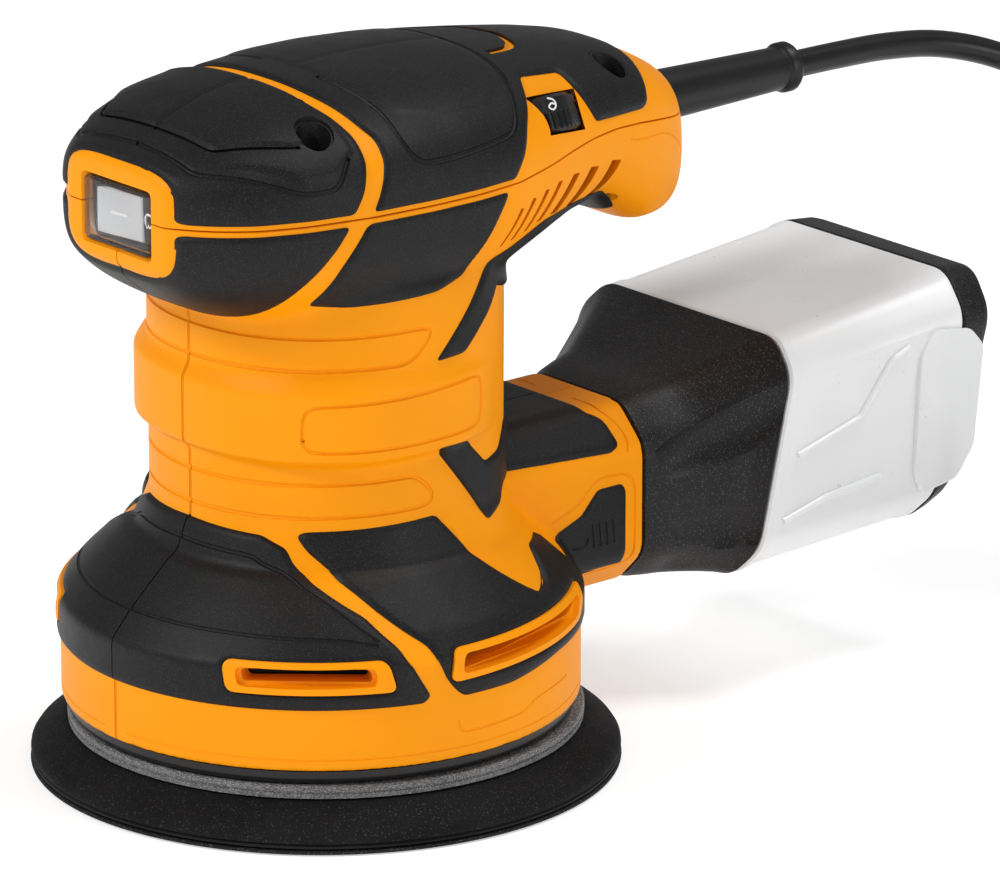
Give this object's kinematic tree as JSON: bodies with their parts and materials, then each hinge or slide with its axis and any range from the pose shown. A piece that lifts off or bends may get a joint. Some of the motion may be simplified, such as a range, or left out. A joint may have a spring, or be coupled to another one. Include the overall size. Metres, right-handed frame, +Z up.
{
  "type": "orbital sander",
  "caption": "Palm-grip random orbit sander with a round pad, speed dial, rocker switch, rear dust box and mains cord; rotor, pad, switch, dial and dust box move.",
  "frame": {"origin": "on the spindle axis, at the abrasive disc's lower face", "axes": "+Z up along the spindle, -Y towards the rocker switch, +Y towards the dust box and the cord, +X to the side with the speed dial"},
  "size_m": [0.2175, 0.2915, 0.1526],
  "materials": {
    "yellow_shell": "satin moulded plastic, warm yellow",
    "grip_rubber": "soft black overmould with a fine grain",
    "black_plastic": "coarse-grained black plastic",
    "switch_black": "smooth black plastic",
    "clear_boot": "clear glossy dust boot",
    "dial_black": "black plastic with pale digits",
    "circuit_board": "green board",
    "laminations": "stacked steel sheets",
    "copper": "enamelled copper wire",
    "bright_steel": "turned steel",
    "brass_holder": "pressed brass",
    "carbon": "dull carbon",
    "cast_plate": "die cast",
    "fan_plastic": "moulded black plastic",
    "backing": "grey glass-filled plastic, wiped with dust",
    "foam": "dense black foam",
    "hook": "black hook-and-loop layer",
    "abrasive": "black grit on cloth",
    "brake_rubber": "smooth black rubber",
    "frosted_clear": "frosted see-through plastic",
    "filter_paper": "pale filter paper",
    "sleeve_rubber": "smooth black rubber",
    "cord_black": "smooth black cord jacket",
    "plug_black": "moulded black plug"
  },
  "bodies": {
    "housing": {"top_cover": "yellow_shell", "body_left": "yellow_shell", "body_right": "yellow_shell", "top_grip_front": "grip_rubber", "top_grip_palm": "grip_rubber", "side_grip_front_right": "grip_rubber", "side_grip_mid_right": "grip_rubber", "handle_strip_right": "grip_rubber", "base_grip_front_right": "grip_rubber", "base_grip_side_right": "grip_rubber", "port_grip_right": "grip_rubber", "port_panel_right": "grip_rubber", "brush_holder_right": "brass_holder", "carbon_brush_right": "carbon", "housing_screw_front_right": "bright_steel", "housing_screw_rear_right": "bright_steel", "side_grip_front_left": "grip_rubber", "side_grip_mid_left": "grip_rubber", "handle_strip_left": "grip_rubber", "base_grip_front_left": "grip_rubber", "base_grip_side_left": "grip_rubber", "port_grip_left": "grip_rubber", "port_panel_left": "grip_rubber", "brush_holder_left": "brass_holder", "carbon_brush_left": "carbon", "housing_screw_front_left": "bright_steel", "housing_screw_rear_left": "bright_steel", "switch_body": "switch_black", "switch_boot": "clear_boot", "speed_board": "circuit_board", "stator_core": "laminations", "stator_coils": "copper", "upper_bearing": "bright_steel", "lower_bearing": "bright_steel", "bearing_plate": "cast_plate", "brake_ring": "brake_rubber", "cable_clamp": "black_plastic", "cable_sleeve": "sleeve_rubber", "power_cord": "cord_black", "cord_coil": "cord_black", "plug": "plug_black"},
    "rotor": {"armature_shaft": "bright_steel", "armature_core": "laminations", "armature_windings": "copper", "commutator": "copper", "fan": "fan_plastic", "counterweight": "bright_steel", "pad_bearing": "bright_steel"},
    "pad": {"backing_plate": "backing", "pad_screw": "bright_steel", "foam_pad": "foam", "hook_layer": "hook", "abrasive_disc": "abrasive"},
    "switch": {"switch_rocker": "switch_black"},
    "dial": {"speed_dial": "dial_black"},
    "dust_box": {"dust_adapter": "black_plastic", "dust_canister": "frosted_clear"},
    "dust_cap": {"dust_cap": "black_plastic", "dust_filter": "filter_paper"}
  },
  "joints": [
    {"name": "spindle_spin", "type": "hinge", "parent": "housing", "child": "rotor", "pos_m": [0, 0, 0], "axis": [0, 0, 1], "continuous": true},
    {"name": "pad_spin", "type": "hinge", "parent": "rotor", "child": "pad", "pos_m": [0, 0.00125, 0], "axis": [0, 0, 1], "continuous": true},
    {"name": "switch_rock", "type": "hinge", "parent": "housing", "child": "switch", "pos_m": [0, -0.0465, 0.1284], "axis": [0, 0, -1], "range_deg": [0, 16]},
    {"name": "dial_turn", "type": "hinge", "parent": "housing", "child": "dial", "pos_m": [0.01989, 0.0385, 0.13531], "axis": [-0.4226, 0, 0.9063], "range_deg": [0, 270]},
    {"name": "dust_box_slide", "type": "slide", "parent": "housing", "child": "dust_box", "axis": [0, 1, 0], "range_m": [0, 0.05]},
    {"name": "dust_cap_slide", "type": "slide", "parent": "dust_box", "child": "dust_cap", "axis": [0, 1, 0], "range_m": [0, 0.04]}
  ]
}
